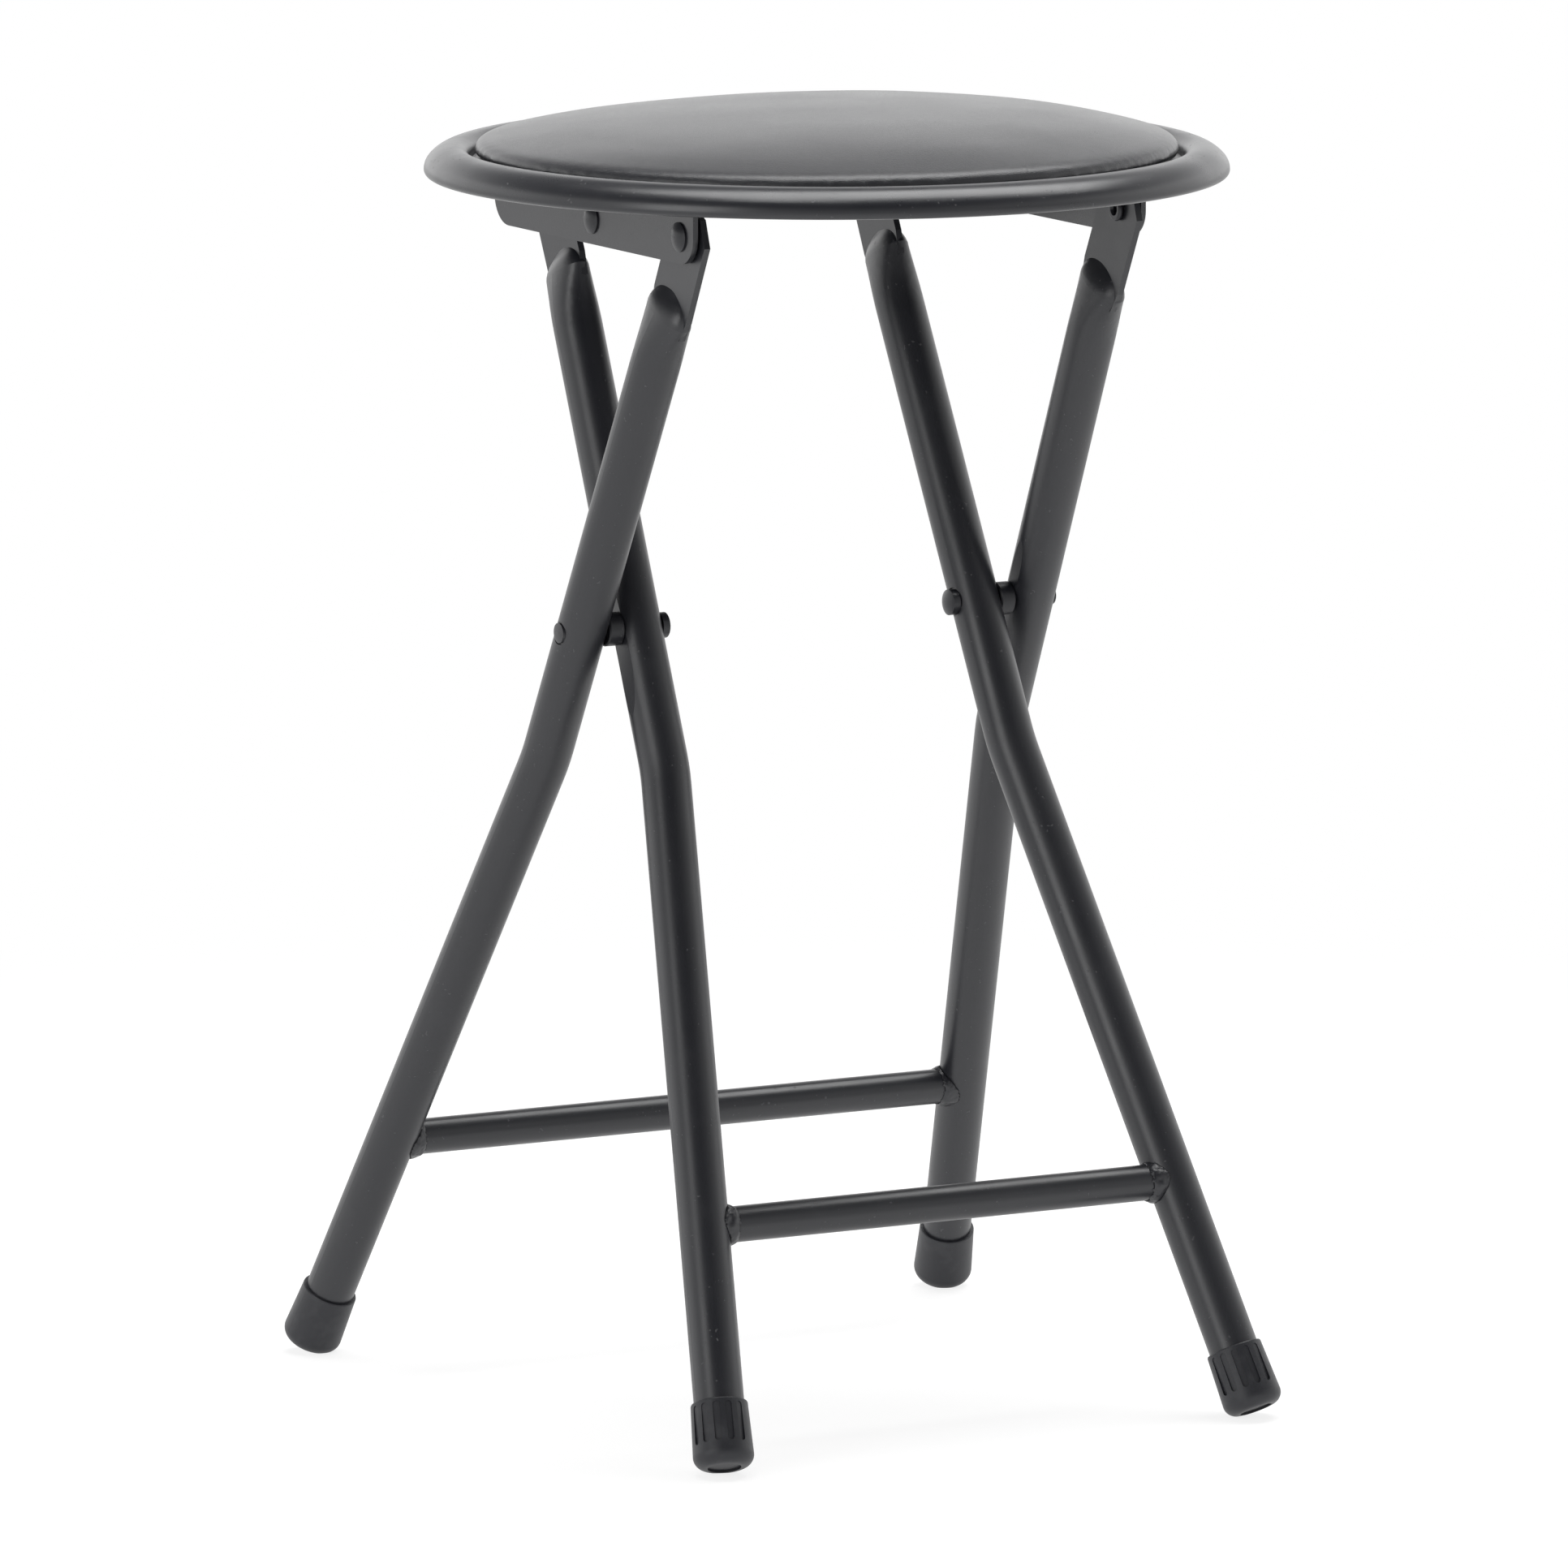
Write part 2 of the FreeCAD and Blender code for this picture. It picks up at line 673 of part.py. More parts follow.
def make_screws():
    """Four screws through the bracket flanges and the plate into the board."""
    base = plate_underside - bracket_sheet
    screws = []
    for x, y in screw_places():
        shank = Part.makeCylinder(screw_radius, screw_length, V(x, y, base))
        head = Part.makeCylinder(screw_head_radius, screw_head_height, V(x, y, base - screw_head_height))
        lower = [edge for edge in head.Edges if edge.BoundBox.ZMax < base - screw_head_height / 2]
        head = head.makeFillet(screw_head_height / 2, [lower[0]])
        slot = cross_slot(x, y, base - screw_head_height)
        screws.append(head.fuse(shank).cut(slot))
    return Part.makeCompound(screws)


def cross_slot(x, y, z):
    """Cross recess in the underside of a screw head."""
    long, wide, deep = screw_head_radius * 0.6, screw_head_radius * 0.15, screw_head_height * 0.6
    first = box(V(x - long, y - wide, z - deep), V(x + long, y + wide, z + deep))
    second = box(V(x - wide, y - long, z - deep), V(x + wide, y + long, z + deep))
    return first.fuse(second)


# Brackets

def make_bracket():
    """Right bracket: a web that carries both rivets, and a flange under the plate."""
    top = plate_underside
    low, front, back = bracket_lower_edge, -bracket_front, bracket_back
    rf, rb = bracket_front_radius, bracket_back_radius
    cut = 1 - math.sqrt(0.5)
    web_outline = [
        Part.LineSegment(V(0, front, top), V(0, front, low + rf)).toShape(),
        Part.Arc(V(0, front, low + rf), V(0, front + rf * cut, low + rf * cut), V(0, front + rf, low)).toShape(),
        Part.LineSegment(V(0, front + rf, low), V(0, back - rb, low)).toShape(),
        Part.Arc(V(0, back - rb, low), V(0, back - rb * cut, low + rb * cut), V(0, back, low + rb)).toShape(),
        Part.LineSegment(V(0, back, low + rb), V(0, back, top)).toShape(),
        Part.LineSegment(V(0, back, top), V(0, front, top)).toShape()]
    web = rounded_plate(bracket_inner_face, bracket_outer_face, web_outline)
    flange_low = V(bracket_outer_face - bracket_flange, front, top - bracket_sheet)
    flange = box(flange_low, V(bracket_inner_face, back, top))
    bracket = web.fuse(flange).removeSplitter()
    outer_corner = [edge for edge in bracket.Edges if on_line(edge, bracket_outer_face, top)]
    bracket = bracket.makeFillet(bracket_bend_radius, outer_corner)
    inner_corner = [edge for edge in bracket.Edges if on_line(edge, bracket_inner_face, top - bracket_sheet)]
    bracket = bracket.makeFillet(bracket_bend_radius - bracket_sheet / 2, inner_corner)
    for y, z in (seat_pivot(), link_rivet()):
        bracket = bracket.cut(rod(bracket_inner_face - 1, bracket_outer_face + 1, y, z, rivet_radius))
    return bracket.cut(screw_holes(screw_radius + running_clearance, seat_underside, pad_top))


def on_line(edge, x, z):
    """Whether an edge runs along Y at a place in X and Z."""
    bound = edge.BoundBox
    return bound.YLength > 1 and abs(bound.Center.x - x) < 0.01 and abs(bound.Center.z - z) < 0.01 \
        and bound.XLength < 0.01 and bound.ZLength < 0.01


def seat_pivot():
    """Y and Z of the front hinge rivets."""
    return -(seat_pivot_height - pivot_height) * math.tan(lean), seat_pivot_height


def link_rivet():
    """Y and Z of the middle rivets, where the links hang from the brackets."""
    return -link_rivet_front, link_rivet_height


def link_end():
    """Y and Z of the rivets between the links and the inner legs."""
    return link_pivot_reach * math.sin(lean), pivot_height + link_pivot_reach * math.cos(lean)


# Rivets, washers, bushes and links

def domed_head(radius=rivet_head_radius, height=rivet_head_height, edge=rivet_head_edge):
    """Rivet head on +Z, with a straight edge under its dome."""
    dome = height - edge
    ball = (radius ** 2 + dome ** 2) / (2 * dome)
    angle = math.degrees(math.atan2(height - (height - ball) - dome, radius))
    crown = arc((0, height - ball), ball, angle, 90)
    return revolve_profile([
        line((0, 0), (radius, 0)),
        line((radius, 0), start_of(crown)),
        crown,
        line(end_of(crown), (0, 0))])


def rolled_tail():
    """Open end of a tubular rivet, rolled over, on -Z below its seat."""
    roll = rivet_tail_height / 2
    centre = (rivet_tail_radius - roll, -roll)
    outer = arc(centre, roll, -90, 90)
    mouth = rivet_bore_radius
    return revolve_profile([
        line((mouth, 0), end_of(outer)),
        outer,
        line(start_of(outer), (mouth + roll / 2, -rivet_tail_height)),
        line((mouth + roll / 2, -rivet_tail_height), (mouth, -roll)),
        line((mouth, -roll), (mouth, 0))])


def tubular_rivet(grip):
    """Rivet on the Z axis: head above Z = 0, shank of a length, rolled tail."""
    shank = Part.makeCylinder(rivet_radius, grip, V(0, 0, -grip))
    shank = shank.cut(Part.makeCylinder(rivet_bore_radius, rivet_bore_depth, V(0, 0, -grip)))
    tail = rolled_tail()
    tail.translate(V(0, 0, -grip))
    return domed_head().fuse([shank, tail]).removeSplitter()


def make_seat_rivet(side):
    """Front hinge rivet: fixed in the bracket, turns in the outer leg's flat."""
    y, z = seat_pivot()
    grip = bracket_outer_face - (flat_plane_outer - flat_half - side_clearance)
    return turned_to_x(tubular_rivet(grip), bracket_outer_face, y, z, side)


def make_seat_washer(side):
    """Washer between the bracket and the outer leg's flat."""
    y, z = seat_pivot()
    low = flat_plane_outer + flat_half + side_clearance
    ring = rod(low, bracket_inner_face, y, z, washer_radius)
    return mirrored(ring.cut(rod(low, bracket_inner_face, y, z, rivet_radius)), side)


def make_middle_rivet(side):
    """Middle rivet: fixed in the bracket, carries the spacer and the link."""
    y, z = link_rivet()
    grip = bracket_outer_face - (link_inner_face - side_clearance)
    return turned_to_x(tubular_rivet(grip), bracket_outer_face, y, z, side)


def make_middle_spacer(side):
    """Tube on the middle rivet that holds the link away from the bracket."""
    y, z = link_rivet()
    low = link_outer_face + side_clearance
    ring = rod(low, bracket_inner_face, y, z, spacer_radius)
    return mirrored(ring.cut(rod(low, bracket_inner_face, y, z, rivet_radius)), side)


def make_link(side):
    """Flat link with round ends, from the middle rivet to the inner leg."""
    start, end = link_rivet(), link_end()
    length = math.hypot(end[0] - start[0], end[1] - start[1])
    half = link_width / 2
    outline = [
        Part.LineSegment(V(0, 0, half), V(0, length, half)).toShape(),
        Part.Arc(V(0, length, half), V(0, length + half, 0), V(0, length, -half)).toShape(),
        Part.LineSegment(V(0, length, -half), V(0, 0, -half)).toShape(),
        Part.Arc(V(0, 0, -half), V(0, -half, 0), V(0, 0, half)).toShape()]
    link = rounded_plate(link_inner_face, link_outer_face, outline)
    link = link.cut([
        rod(link_inner_face, link_outer_face, 0, 0, rivet_radius + running_clearance),
        rod(link_inner_face, link_outer_face, length, 0, rivet_radius)])
    tilt = math.degrees(math.atan2(end[1] - start[1], end[0] - start[0]))
    link.rotate(V(0, 0, 0), V(1, 0, 0), tilt)
    link.translate(V(0, start[0], start[1]))
    return mirrored(link, side)


def split_plane():
    """Distance from the middle at which the link rivet is parted, leg side."""
    return (flat_plane_inner + flat_half + link_inner_face - rivet_split_gap) / 2


def make_link_rivet_head(side):
    """Link's half of the rivet at the inner leg: head outside, shank through the link."""
    y, z = link_end()
    grip = link_outer_face - split_plane() - rivet_split_gap
    shank = Part.makeCylinder(rivet_radius, grip, V(0, 0, -grip))
    collar = Part.makeCylinder(collar_radius, grip - link_sheet, V(0, 0, -grip))
    return turned_to_x(domed_head().fuse([shank, collar]).removeSplitter(), link_outer_face, y, z, side)


def make_link_rivet_tail(side):
    """Leg's half of the same rivet: collar outside the flat, head inside it."""
    y, z = link_end()
    inner = flat_plane_inner - flat_half
    grip = split_plane() - inner
    shank = Part.makeCylinder(rivet_radius, grip, V(0, 0, -grip))
    collar = Part.makeCylinder(collar_radius, grip - flat_thickness, V(0, 0, -grip))
    piece = domed_head().fuse([shank, collar]).removeSplitter()
    piece.rotate(V(0, 0, 0), V(0, 1, 0), 180)
    return turned_to_x(piece, inner, y, z, side)


def crossing_faces():
    """Distances from the middle of the two pressed faces at the crossing."""
    return inner_spread + leg_radius - inner_press, outer_spread - leg_radius + outer_press


def make_crossing_rivet(side):
    """Rivet at the crossing: fixed in the outer leg, turns in the inner one."""
    outside = outer_spread + leg_radius - outer_dimple
    inside = inner_spread - leg_radius + inner_dimple - side_clearance
    shank = rod(inside, outside, 0, pivot_height, rivet_radius)
    outer_head = domed_head(crossing_head_radius, crossing_head_height, crossing_head_edge)
    outer_head = turned_to_x(outer_head, outside, 0, pivot_height, 1)
    inner_head = domed_head(crossing_tail_radius, crossing_tail_height, crossing_tail_edge)
    inner_head.rotate(V(0, 0, 0), V(0, 1, 0), 180)
    inner_head = turned_to_x(inner_head, inside, 0, pivot_height, 1)
    return mirrored(shank.fuse([outer_head, inner_head]).removeSplitter(), side)


def make_crossing_bush(side):
    """Bush that holds the two legs apart at the crossing."""
    low, high = crossing_faces()
    low += side_clearance
    bush = rod(low, high, 0, pivot_height, bush_radius)
    rims = [edge for edge in bush.Edges if edge.BoundBox.XLength < 0.01]
    bush = bush.makeChamfer(bush_chamfer, rims)
    return mirrored(bush.cut(rod(low, high, 0, pivot_height, rivet_radius)), side)


# The whole stool

def build_parts():
    """Every piece of the stool by name, before it is centred."""
    outer_leg, inner_leg = make_outer_leg(), make_inner_leg()
    parts = {
        "seat_rim": make_rim(),
        "seat_plate": make_plate(),
        "pad_board": make_board(),
        "pad_foam": make_foam(),
        "pad_cover": make_cover(),
        "seat_screws": make_screws(),
        "outer_crossbar": stood_up(make_crossbar(outer_line), 1),
        "inner_crossbar": stood_up(make_crossbar(inner_line), -1),
        "outer_welds": stood_up(make_welds(outer_line), 1),
        "inner_welds": stood_up(make_welds(inner_line), -1)}
    floor = box(V(-seat_diameter, -seat_diameter, -cap_length), V(seat_diameter, seat_diameter, 0))
    for name, side in (("left", -1), ("right", 1)):
        parts["bracket_" + name] = mirrored(make_bracket(), side)
        parts["outer_leg_" + name] = stood_up(mirrored(outer_leg, side), 1)
        parts["inner_leg_" + name] = stood_up(mirrored(inner_leg, side), -1)
        parts["outer_foot_cap_" + name] = stood_up(make_cap(outer_line, side, 1), 1).cut(floor)
        parts["inner_foot_cap_" + name] = stood_up(make_cap(inner_line, side, -1), -1).cut(floor)
        parts["seat_rivet_" + name] = make_seat_rivet(side)
        parts["seat_washer_" + name] = make_seat_washer(side)
        parts["middle_rivet_" + name] = make_middle_rivet(side)
        parts["middle_spacer_" + name] = make_middle_spacer(side)
        parts["link_" + name] = make_link(side)
        parts["link_rivet_head_" + name] = make_link_rivet_head(side)
        parts["link_rivet_tail_" + name] = make_link_rivet_tail(side)
        parts["crossing_rivet_" + name] = make_crossing_rivet(side)
        parts["crossing_bush_" + name] = make_crossing_bush(side)
    return parts


def main():
    """Centre the stool, write one file for each piece and print its hinge places."""
    parts = build_parts()
    bound = Part.makeCompound(list(parts.values())).optimalBoundingBox()
    shift = V(0, -(bound.YMin + bound.YMax) / 2, 0)
    os.makedirs("parts", exist_ok=True)
    for name, shape in parts.items():
        shape.translate(shift)
        shape.exportStep("parts/" + name + ".step")
    print("size", round(bound.XLength, 2), round(bound.YLength, 2), round(bound.ZMax, 2))
    print("moved in Y by", round(shift.y, 3))
    places = (("seat pivot", seat_pivot()), ("middle rivet", link_rivet()), ("link end", link_end()))
    for label, place in places:
        print(label, round(place[0] + shift.y, 3), round(place[1], 3))
    print("crossing", round(shift.y, 3), pivot_height)


main()
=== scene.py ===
"""Looks of the round folding stool: finishes, padded seat, rim, weld beads and a plain studio.

Metres, in the same frame as the CAD model: X across the stool along its hinges, Y from
the front of the seat to its back, Z up, with the floor at zero.
"""

import json
import logging
import math
from dataclasses import dataclass
from enum import Enum
from typing import Mapping, Optional, Union

import bmesh
import bpy
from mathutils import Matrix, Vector, noise
from mathutils.bvhtree import BVHTree


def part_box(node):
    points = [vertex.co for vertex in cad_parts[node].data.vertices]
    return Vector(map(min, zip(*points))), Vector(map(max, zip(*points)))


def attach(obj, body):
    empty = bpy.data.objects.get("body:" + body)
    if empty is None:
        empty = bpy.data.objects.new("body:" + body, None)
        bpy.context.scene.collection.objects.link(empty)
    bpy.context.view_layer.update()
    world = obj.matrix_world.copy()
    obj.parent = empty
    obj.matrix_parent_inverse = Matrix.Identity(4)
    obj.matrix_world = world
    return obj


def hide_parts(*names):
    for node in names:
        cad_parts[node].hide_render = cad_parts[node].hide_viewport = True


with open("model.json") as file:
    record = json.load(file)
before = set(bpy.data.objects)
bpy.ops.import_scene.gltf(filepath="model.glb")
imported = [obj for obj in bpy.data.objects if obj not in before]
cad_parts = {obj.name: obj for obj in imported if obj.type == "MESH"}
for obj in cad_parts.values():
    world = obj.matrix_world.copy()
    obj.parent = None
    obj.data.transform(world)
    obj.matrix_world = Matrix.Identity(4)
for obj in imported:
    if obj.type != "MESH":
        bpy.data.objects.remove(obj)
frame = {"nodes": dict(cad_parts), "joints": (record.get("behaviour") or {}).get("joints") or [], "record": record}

MM = 0.001

# Level direction in which the photograph looks, as its shares of X and Y
LOOK_X = 0.479
LOOK_Y = 0.878

log = logging.getLogger("stool")

Number = Union[float, "Wire"]
Triple = tuple[float, float, float]
Pair = tuple[float, float]
Span = tuple[float, float]
Inputs = Mapping[Union[int, str], Union[float, tuple, "Wire"]]


class Wire:
    """An output of a shader node that can be used in Python expressions."""

    def __init__(self, nodes: "Nodes", socket: bpy.types.NodeSocket) -> None:
        """Remember the output and the nodes that it belongs to."""
        self.nodes = nodes
        self.socket = socket

    def _math(self, operation: str, first: Number, second: Number, clamp: bool = False) -> "Wire":
        """Add one Math node.

        Args:
            operation: Name of the node's operation.
            first: Its first input.
            second: Its second input.
            clamp: Whether the result is held between 0 and 1.

        Returns:
            The node's output.
        """
        settings = {"operation": operation, "use_clamp": clamp}
        return self.nodes.wire(self.nodes.add("Math", settings, {0: first, 1: second}), "Value")

    def __add__(self, other: Number) -> "Wire":
        """Return the sum."""
        return self._math("ADD", self, other)

    __radd__ = __add__

    def __sub__(self, other: Number) -> "Wire":
        """Return this value less another."""
        return self._math("SUBTRACT", self, other)

    def __rsub__(self, other: Number) -> "Wire":
        """Return another value less this one."""
        return self._math("SUBTRACT", other, self)

    def __mul__(self, other: Number) -> "Wire":
        """Return the product."""
        return self._math("MULTIPLY", self, other)

    __rmul__ = __mul__

    def centred(self) -> "Wire":
        """Return this value counted from 0.5, the middle of a noise."""
        return self - 0.5

    def clamped(self) -> "Wire":
        """Return this value held between 0 and 1."""
        return self._math("ADD", self, 0.0, clamp=True)

    def smooth(self, low: float, high: float) -> "Wire":
        """Rise smoothly from 0 at one value of this wire to 1 at another.

        Args:
            low: Value at which the result is 0.
            high: Value at which the result is 1.

        Returns:
            The smoothed step.
        """
        inputs = {"Value": self, "From Min": low, "From Max": high}
        step = self.nodes.add("MapRange", {"interpolation_type": "SMOOTHSTEP"}, inputs)
        return self.nodes.wire(step, "Result")


class Nodes:
    """The shader nodes of one material or of the world."""

    def __init__(self, tree: bpy.types.NodeTree) -> None:
        """Remember the node tree."""
        self.tree = tree

    def add(self, kind: str, settings: Optional[Mapping[str, object]] = None,
            inputs: Optional[Inputs] = None) -> bpy.types.Node:
        """Add a node.

        Args:
            kind: Its type, without the word ShaderNode in front.
            settings: Its properties, which are set first.
            inputs: The value or wire of each input, by name or number.

        Returns:
            The new node.
        """
        node = self.tree.nodes.new("ShaderNode" + kind)
        for name, value in (settings or {}).items():
            setattr(node, name, value)
        self.feed(node, inputs or {})
        return node

    def feed(self, node: bpy.types.Node, inputs: Inputs) -> None:
        """Fill in inputs of a node.

        Args:
            node: The node.
            inputs: The value or wire of each input, by name or number.
        """
        for key, value in inputs.items():
            if isinstance(value, Wire):
                self.tree.links.new(value.socket, node.inputs[key])
            else:
                node.inputs[key].default_value = value

    def wire(self, node: bpy.types.Node, output: str) -> Wire:
        """Return one output of a node as a wire."""
        return Wire(self, node.outputs[output])

    def mix(self, amount: Number, first: Triple, second: Triple) -> Wire:
        """Mix two colours.

        Args:
            amount: Share of the second colour.
            first: The first colour.
            second: The second colour.

        Returns:
            The mixed colour.
        """
        inputs = {"Factor": amount, "A": (*first, 1.0), "B": (*second, 1.0)}
        return self.wire(self.add("Mix", {"data_type": "RGBA"}, inputs), "Result")


class Pattern(Nodes):
    """Nodes of a material with patterns on the object's own coordinates."""

    def __init__(self, tree: bpy.types.NodeTree) -> None:
        """Remember the node tree and add the coordinates."""
        super().__init__(tree)
        self.place = self.wire(self.add("TexCoord"), "Object")

    def noise(self, grain: float, detail: float = 2.0, roughness: float = 0.5) -> Wire:
        """Noise whose lumps are about one grain across.

        Args:
            grain: Size of a lump in metres.
            detail: Octaves.
            roughness: Weight of the finer octaves.

        Returns:
            The noise, from about 0 to 1.
        """
        inputs = {"Vector": self.place, "Scale": 1.0 / grain, "Detail": detail,
                  "Roughness": roughness}
        return self.wire(self.add("TexNoise", inputs=inputs), "Fac")

    def cells(self, grain: float) -> Wire:
        """Distance from the middle of cells that are about one grain across.

        Args:
            grain: Size of a cell in metres.

        Returns:
            The distance.
        """
        inputs = {"Vector": self.place, "Scale": 1.0 / grain}
        return self.wire(self.add("TexVoronoi", {"feature": "F1"}, inputs), "Distance")

    def bump(self, height: Wire, depth: float) -> Wire:
        """Turn a height into a bent normal.

        Args:
            height: Height from 0 to 1.
            depth: Real depth in metres of a full step.

        Returns:
            The normal.
        """
        inputs = {"Height": height, "Strength": 1.0, "Distance": depth}
        return self.wire(self.add("Bump", inputs=inputs), "Normal")


@dataclass(frozen=True)
class Finish:
    """A surface finish; each kind adds its own pattern."""

    name: str
    color: Triple
    roughness: float
    metallic: float = 0.0
    specular: float = 0.5

    def build(self) -> bpy.types.Material:
        """Make the material.

        Returns:
            The finished material.
        """
        material = bpy.data.materials.new(self.name)
        material.use_nodes = True
        pattern = Pattern(material.node_tree)
        plain = {"Base Color": (*self.color, 1.0), "Roughness": self.roughness,
                 "Metallic": self.metallic, "Specular IOR Level": self.specular}
        pattern.feed(material.node_tree.nodes["Principled BSDF"], {**plain, **self.dress(pattern)})
        return material

    def dress(self, pattern: Pattern) -> Inputs:
        """Return the shader inputs that the finish's own pattern feeds."""
        return {}

    def lighter(self, amount: float) -> Triple:
        """Return the base colour with the same amount added to each part."""
        return tuple(value + amount for value in self.color)

    def times(self, factor: float) -> Triple:
        """Return the base colour with each part multiplied."""
        return tuple(value * factor for value in self.color)


@dataclass(frozen=True)
class PowderCoat(Finish):
    """Satin powder coat with a faint orange peel, dust and rubbed spots."""

    peel: float = 0.9 * MM
    peel_depth: float = 0.012 * MM
    wear: float = 0.06
    cloud: float = 22.0 * MM
    fine: float = 0.35 * MM
    speck: float = 1.1 * MM
    patch: float = 9.0 * MM
    specks: Span = (0.76, 0.80)
    patches: Span = (0.5, 0.62)
    rubbed: Span = (0.55, 0.8)
    cloud_gloss: float = 0.16
    fine_gloss: float = 0.1
    dust_gloss: float = 0.25
    dust_tint: float = 0.5
    dust_light: float = 0.1
    fine_height: float = 0.25
    dust_height: float = 2.0

    def dress(self, pattern: Pattern) -> Inputs:
        """Return orange peel, uneven gloss and specks of dust."""
        peel = pattern.noise(self.peel, 1.0)
        cloud = pattern.noise(self.cloud, 3.0, 0.6)
        fine = pattern.noise(self.fine)
        patches = pattern.noise(self.patch, 1.0).smooth(*self.patches)
        dust = pattern.noise(self.speck, 0.0).smooth(*self.specks) * patches
        gloss = self.roughness + cloud.centred() * self.cloud_gloss
        tint = dust * self.dust_tint + cloud.smooth(*self.rubbed) * self.wear
        height = peel + fine * self.fine_height + dust * self.dust_height
        return {
            "Roughness": gloss + fine.centred() * self.fine_gloss + dust * self.dust_gloss,
            "Base Color": pattern.mix(tint, self.color, self.lighter(self.dust_light)),
            "Normal": pattern.bump(height, self.peel_depth)}


@dataclass(frozen=True)
class Leathercloth(Finish):
    """Fine grained vinyl cover with pebbles, creases and pores; they are sized in grains."""

    grain: float = 0.62 * MM
    grain_depth: float = 0.055 * MM
    crease: float = 2.4
    pore: float = 0.42
    stretch: float = 30.0 * MM
    pebbles: Span = (0.0, 0.62)
    pores: Span = (0.35, 0.62)
    pebble_height: float = 0.7
    crease_height: float = 0.25
    pore_height: float = 0.35
    crease_gloss: float = 0.08
    stretch_gloss: float = 0.06
    crest_tint: float = 0.5
    crest_pale: float = 1.9

    def dress(self, pattern: Pattern) -> Inputs:
        """Return the embossed grain, its paler crests and its uneven gloss."""
        pebbles = 1.0 - pattern.cells(self.grain).smooth(*self.pebbles)
        creases = pattern.noise(self.grain * self.crease, 3.0, 0.62)
        pores = pattern.noise(self.grain * self.pore, 1.0).smooth(*self.pores)
        stretch = pattern.noise(self.stretch)
        height = (pebbles * self.pebble_height + creases * self.crease_height
                  + pores * self.pore_height)
        gloss = self.roughness + creases.centred() * self.crease_gloss
        crests = height.centred().clamped() * self.crest_tint
        return {
            "Roughness": gloss + stretch.centred() * self.stretch_gloss,
            "Base Color": pattern.mix(crests, self.color, self.times(self.crest_pale)),
            "Normal": pattern.bump(height, self.grain_depth)}


@dataclass(frozen=True)
class MouldedRubber(Finish):
    """Matt moulded rubber with a fine skin and a little dust."""

    skin: float = 0.5 * MM
    skin_depth: float = 0.03 * MM
    cloud: float = 7.0 * MM
    dusty: Span = (0.5, 0.75)
    cloud_gloss: float = 0.2
    cloud_height: float = 0.5
    dust_tint: float = 0.5
    dust_light: float = 0.03

    def dress(self, pattern: Pattern) -> Inputs:
        """Return the moulded skin and the dust on it."""
        skin = pattern.noise(self.skin)
        cloud = pattern.noise(self.cloud)
        dust = cloud.smooth(*self.dusty) * self.dust_tint
        return {
            "Roughness": self.roughness + cloud.centred() * self.cloud_gloss,
            "Base Color": pattern.mix(dust, self.color, self.lighter(self.dust_light)),
            "Normal": pattern.bump(skin + cloud * self.cloud_height, self.skin_depth)}


@dataclass(frozen=True)
class PlatedSteel(Finish):
    """Bright zinc plate with a mottled sheen."""

    mottle: float = 2.0 * MM
    mottle_depth: float = 0.02 * MM
    mottle_gloss: float = 0.25

    def dress(self, pattern: Pattern) -> Inputs:
        """Return the mottling."""
        mottle = pattern.noise(self.mottle, 3.0)
        return {
            "Roughness": self.roughness + mottle.centred() * self.mottle_gloss,
            "Normal": pattern.bump(mottle, self.mottle_depth)}


@dataclass(frozen=True)
class PressedBoard(Finish):
    """Pressed fibreboard with short flecks."""

    fleck: float = 1.6 * MM
    fleck_depth: float = 0.1 * MM
    flecked: Span = (0.45, 0.7)
    fleck_dark: float = 0.6

    def dress(self, pattern: Pattern) -> Inputs:
        """Return the flecks and the felted surface."""
        flecks = pattern.noise(self.fleck, 4.0, 0.7)
        share = flecks.smooth(*self.flecked)
        return {
            "Base Color": pattern.mix(share, self.color, self.times(self.fleck_dark)),
            "Normal": pattern.bump(flecks, self.fleck_depth)}


@dataclass(frozen=True)
class OpenFoam(Finish):
    """Open cell foam."""

    cell: float = 0.8 * MM
    cell_depth: float = 0.3 * MM

    def dress(self, pattern: Pattern) -> Inputs:
        """Return the cells."""
        return {"Normal": pattern.bump(pattern.cells(self.cell), self.cell_depth)}


COAT = (0.0158, 0.0166, 0.0214)
COAT_SPECULAR = 0.7


class Surface(Enum):
    """The finishes of the stool, under the slots of the CAD record."""

    FRAME = ("frame_coat", PowderCoat("frame_powder_coat", COAT, 0.36, specular=COAT_SPECULAR))
    SEAT = ("seat_coat", PowderCoat("seat_powder_coat", COAT, 0.30, specular=COAT_SPECULAR))
    LINK = ("link_coat", PowderCoat("link_powder_coat", COAT, 0.36, specular=COAT_SPECULAR))
    RIVET = ("rivet_steel", PowderCoat(
        "painted_rivet", (0.0190, 0.0198, 0.0245), 0.34, peel_depth=0.02 * MM, wear=0.2))
    BUSH = ("bush_steel", PowderCoat("painted_bush", (0.0135, 0.0140, 0.0180), 0.42))
    FOOT = ("foot_rubber", MouldedRubber("foot_cap_rubber", (0.0225, 0.0233, 0.0285), 0.46))
    COVER = ("cover", Leathercloth(
        "seat_leathercloth", (0.0235, 0.0241, 0.0285), 0.30, specular=0.62))
    SCREW = ("screw_steel", PlatedSteel("plated_screw", (0.45, 0.45, 0.46), 0.35, 1.0))
    BOARD = ("board", PressedBoard("pad_fibreboard", (0.27, 0.17, 0.09), 0.8))
    FOAM = ("foam", OpenFoam("pad_foam_cells", (0.55, 0.52, 0.42), 0.9))

    def __init__(self, slot: str, finish: Finish) -> None:
        """Keep the slot's name and the finish under it."""
        self.slot = slot
        self.finish = finish


